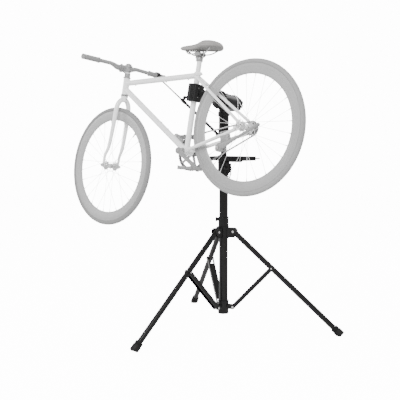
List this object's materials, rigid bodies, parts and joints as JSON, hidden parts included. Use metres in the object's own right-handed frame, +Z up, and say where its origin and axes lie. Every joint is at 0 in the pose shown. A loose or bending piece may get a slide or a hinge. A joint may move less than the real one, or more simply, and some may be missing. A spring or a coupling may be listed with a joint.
{
  "type": "bicycle on stand",
  "caption": "City bicycle with deep rims held level by its seat tube in the jaws of a folding tripod repair stand, with a tool tray and a handlebar stay.",
  "frame": {"origin": "the point on the floor where the stand's mast axis meets it", "axes": "+Z up along the mast; the bicycle faces -X and hangs on the -Y side, its left side facing -Y"},
  "size_m": [1.6371, 1.0504, 1.5634],
  "materials": {
    "black_paint": "satin black powder coat",
    "black_plastic": "moulded black plastic",
    "black_rubber": "matt black rubber",
    "pin_steel": "zinc plated steel",
    "stay_steel": "dull steel rod",
    "white_paint": "gloss white paint",
    "white_post": "pale anodised aluminium",
    "rail_steel": "satin steel",
    "saddle_cover": "pale grey cover with a soft sheen",
    "grey_alloy": "satin grey aluminium",
    "grey_rubber": "pale grey rubber",
    "tyre_grey": "pale grey rubber",
    "rim_grey": "pale grey coated alloy",
    "hub_alloy": "polished aluminium",
    "spoke_steel": "bright stainless steel",
    "grey_plastic": "pale grey plastic",
    "chain_steel": "dull grey steel"
  },
  "bodies": {
    "stand_base": {"mast_lower": "black_paint", "base_hub": "black_paint", "hub_pins": "pin_steel", "height_clamp": "black_paint", "tool_tray": "black_plastic"},
    "collar": {"collar": "black_paint", "collar_pins": "pin_steel"},
    "collar_knob": {"collar_knob": "black_plastic"},
    "leg_1": {"leg_1": "black_paint", "foot_1": "black_rubber"},
    "leg_2": {"leg_2": "black_paint", "foot_2": "black_rubber"},
    "leg_3": {"leg_3": "black_paint", "foot_3": "black_rubber"},
    "brace_1": {"brace_1": "black_paint"},
    "brace_2": {"brace_2": "black_paint"},
    "brace_3": {"brace_3": "black_paint"},
    "upper_mast": {"mast_upper": "black_paint", "head_casting": "black_paint"},
    "height_lever": {"height_lever": "black_plastic"},
    "head_knob": {"head_knob": "black_plastic"},
    "clamp": {"clamp_arm": "black_paint", "jaw_fixed": "black_paint", "head_tube": "white_paint", "top_tube": "white_paint", "down_tube": "white_paint", "seat_tube": "white_paint", "chainstays": "white_paint", "seatstays": "white_paint", "rear_axle": "pin_steel", "chain": "chain_steel", "kickstand_mount": "grey_alloy"},
    "jaw_moving": {"jaw_moving": "black_plastic"},
    "jaw_latch": {"jaw_latch": "black_paint"},
    "stay_sleeve": {"stay_sleeve": "black_plastic"},
    "stay_rod": {"stay_rod": "stay_steel", "stay_hook": "black_plastic"},
    "stay_knob": {"stay_knob": "black_plastic"},
    "seat": {"seatpost": "white_post", "saddle_rails": "rail_steel", "saddle": "saddle_cover"},
    "steering": {"fork": "white_paint", "front_axle": "pin_steel", "stem": "grey_alloy", "handlebar": "grey_alloy", "grips": "grey_rubber"},
    "front_wheel": {"front_tyre": "tyre_grey", "front_rim": "rim_grey", "front_spokes": "spoke_steel", "front_hub": "hub_alloy"},
    "rear_wheel": {"rear_tyre": "tyre_grey", "rear_rim": "rim_grey", "rear_spokes": "spoke_steel", "rear_hub": "hub_alloy"},
    "cranks": {"crankset": "grey_alloy", "crank_left": "grey_alloy"},
    "pedal_left": {"pedal_left": "grey_plastic"},
    "pedal_right": {"pedal_right": "grey_plastic"},
    "sprocket": {"sprocket": "chain_steel"},
    "kickstand": {"kickstand": "grey_alloy"}
  },
  "joints": [
    {"name": "collar_slide", "type": "slide", "parent": "stand_base", "child": "collar", "axis": [0, 0, 1], "range_m": [0, 0.1]},
    {"name": "leg_1_fold", "type": "hinge", "parent": "collar", "child": "leg_1", "pos_m": [0.05123, 0.02499, 0.546], "axis": [-0.4384, 0.8988, 0], "range_deg": [-0.5, 17.03]},
    {"name": "brace_1_fold", "type": "hinge", "parent": "stand_base", "child": "brace_1", "pos_m": [0.05123, 0.02499, 0.124], "axis": [-0.4384, 0.8988, 0], "range_deg": [-15.17, 0.5]},
    {"name": "leg_2_fold", "type": "hinge", "parent": "collar", "child": "leg_2", "pos_m": [-0.04725, 0.03187, 0.546], "axis": [-0.5592, -0.829, 0], "range_deg": [-0.5, 17.03]},
    {"name": "brace_2_fold", "type": "hinge", "parent": "stand_base", "child": "brace_2", "pos_m": [-0.04725, 0.03187, 0.124], "axis": [-0.5592, -0.829, 0], "range_deg": [-15.17, 0.5]},
    {"name": "leg_3_fold", "type": "hinge", "parent": "collar", "child": "leg_3", "pos_m": [-0.00398, -0.05686, 0.546], "axis": [0.9976, -0.0698, 0], "range_deg": [-0.5, 17.03]},
    {"name": "brace_3_fold", "type": "hinge", "parent": "stand_base", "child": "brace_3", "pos_m": [-0.00398, -0.05686, 0.124], "axis": [0.9976, -0.0698, 0], "range_deg": [-15.17, 0.5]},
    {"name": "collar_knob_turn", "type": "hinge", "parent": "collar", "child": "collar_knob", "pos_m": [0, 0, 0.612], "axis": [-0.8192, -0.5736, 0], "range_deg": [0, 360]},
    {"name": "mast_height", "type": "slide", "parent": "stand_base", "child": "upper_mast", "axis": [0, 0, 1], "range_m": [-0.1, 0.3]},
    {"name": "height_lever_turn", "type": "hinge", "parent": "stand_base", "child": "height_lever", "pos_m": [0.0389, -0.00686, 0.894], "axis": [0.1736, 0.9848, 0], "range_deg": [-100, 0]},
    {"name": "head_turn", "type": "hinge", "parent": "upper_mast", "child": "clamp", "pos_m": [0, 0, 1.262], "axis": [0, 0.9919, -0.1271], "range_deg": [0, 20]},
    {"name": "head_knob_turn", "type": "hinge", "parent": "clamp", "child": "head_knob", "pos_m": [0, 0, 1.262], "axis": [0, -0.9919, 0.1271], "range_deg": [0, 360]},
    {"name": "stay_swing", "type": "hinge", "parent": "upper_mast", "child": "stay_sleeve", "pos_m": [-0.0405, 0, 1.079], "axis": [0, 0.9919, -0.1271], "range_deg": [-0.5, 17.6]},
    {"name": "stay_slide", "type": "slide", "parent": "stay_sleeve", "child": "stay_rod", "axis": [-0.818, 0.0498, 0.5731], "range_m": [-0.001, 0.0572]},
    {"name": "stay_knob_turn", "type": "hinge", "parent": "stay_sleeve", "child": "stay_knob", "pos_m": [-0.31533, 0.01674, 1.27157], "axis": [0.5721, -0.0348, 0.8195], "range_deg": [0, 360]},
    {"name": "jaw_swing", "type": "hinge", "parent": "clamp", "child": "jaw_moving", "pos_m": [-0.03888, -0.23767, 1.29553], "axis": [-0.0785, -0.1267, -0.9888], "range_deg": [0, 100]},
    {"name": "latch_swing", "type": "hinge", "parent": "jaw_moving", "child": "jaw_latch", "pos_m": [0.02991, -0.25026, 1.29169], "axis": [-0.0785, -0.1267, -0.9888], "range_deg": [0, 30]},
    {"name": "steering", "type": "hinge", "parent": "clamp", "child": "steering", "pos_m": [-0.5311, -0.23056, 1.35096], "axis": [0.0785, 0.1267, 0.9888], "range_deg": [0, 60]},
    {"name": "front_wheel_spin", "type": "hinge", "parent": "steering", "child": "front_wheel", "pos_m": [-0.60497, -0.28651, 0.89963], "axis": [-0.0487, -0.9902, 0.1307], "continuous": true},
    {"name": "rear_wheel_spin", "type": "hinge", "parent": "clamp", "child": "rear_wheel", "pos_m": [0.35469, -0.26132, 1.11091], "axis": [0, -0.9919, 0.1271], "continuous": true},
    {"name": "crank_spin", "type": "hinge", "parent": "clamp", "child": "cranks", "pos_m": [-0.02424, -0.2772, 0.98694], "axis": [0, -0.9919, 0.1271], "continuous": true},
    {"name": "sprocket_spin", "type": "hinge", "parent": "clamp", "child": "sprocket", "pos_m": [0.35469, -0.26132, 1.11091], "axis": [0, -0.9919, 0.1271], "continuous": true},
    {"name": "pedal_left_spin", "type": "hinge", "parent": "cranks", "child": "pedal_left", "pos_m": [0.11752, -0.3645, 0.90353], "axis": [0, -0.9919, 0.1271], "continuous": true},
    {"name": "pedal_right_spin", "type": "hinge", "parent": "cranks", "child": "pedal_right", "pos_m": [-0.166, -0.18989, 1.07036], "axis": [0, -0.9919, 0.1271], "continuous": true},
    {"name": "kickstand_swing", "type": "hinge", "parent": "clamp", "child": "kickstand", "pos_m": [0.25224, -0.3478, 1.01028], "axis": [0, 0.9919, -0.1271], "range_deg": [0, 105]},
    {"name": "seatpost_slide", "type": "slide", "parent": "clamp", "child": "seat", "axis": [0.0785, 0.1267, 0.9888], "range_m": [-0.04, 0.08]}
  ],
  "couplings": [
    {"joint": "leg_1_fold", "follows": "collar_slide", "rad_per_m": 2.797},
    {"joint": "brace_1_fold", "follows": "collar_slide", "rad_per_m": -2.474},
    {"joint": "leg_2_fold", "follows": "collar_slide", "rad_per_m": 2.797},
    {"joint": "brace_2_fold", "follows": "collar_slide", "rad_per_m": -2.474},
    {"joint": "leg_3_fold", "follows": "collar_slide", "rad_per_m": 2.797},
    {"joint": "brace_3_fold", "follows": "collar_slide", "rad_per_m": -2.474},
    {"joint": "stay_swing", "follows": "head_turn", "ratio": 0.855},
    {"joint": "stay_slide", "follows": "head_turn", "m_per_rad": 0.161},
    {"joint": "sprocket_spin", "follows": "crank_spin", "ratio": 2.5556}
  ]
}
